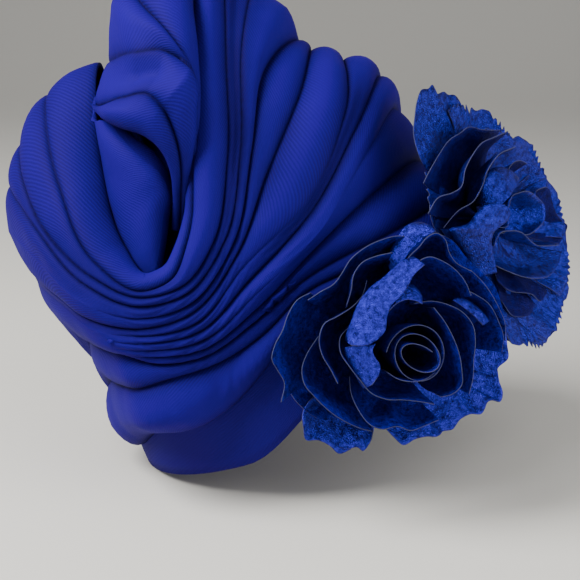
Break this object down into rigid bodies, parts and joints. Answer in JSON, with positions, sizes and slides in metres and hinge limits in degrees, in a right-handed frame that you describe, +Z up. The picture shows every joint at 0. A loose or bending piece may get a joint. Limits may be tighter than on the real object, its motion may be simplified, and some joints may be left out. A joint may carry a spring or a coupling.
{
  "type": "turban hat",
  "caption": "Padded pleated cloth turban with a gathered rosette shell behind the ear and foil leather flowers at the temple and forehead, on a fitted cap.",
  "frame": {"origin": "centre of the head opening, in the plane of the cap's rim", "axes": "+X to the wearer's front, +Y to the wearer's left, +Z up"},
  "size_m": [0.2843, 0.2212, 0.2496],
  "materials": {
    "cap cloth": "matt",
    "wrap cloth": "matt",
    "roll cloth": "matt",
    "temple foil leather": "metallic foil",
    "forehead foil leather": "metallic foil"
  },
  "bodies": {
    "root": {"base_cap": "cap cloth", "head_wrap": "wrap cloth", "inner_roll": "roll cloth", "inner_fold": "roll cloth", "temple_flower_bud": "temple foil leather", "temple_flower_inner": "temple foil leather", "temple_flower_middle": "temple foil leather", "temple_flower_outer": "temple foil leather", "temple_flower_outermost": "temple foil leather", "forehead_flower_bud": "forehead foil leather", "forehead_flower_inner": "forehead foil leather", "forehead_flower_middle": "forehead foil leather", "forehead_flower_outer": "forehead foil leather", "forehead_flower_outermost": "forehead foil leather"}
  },
  "joints": []
}
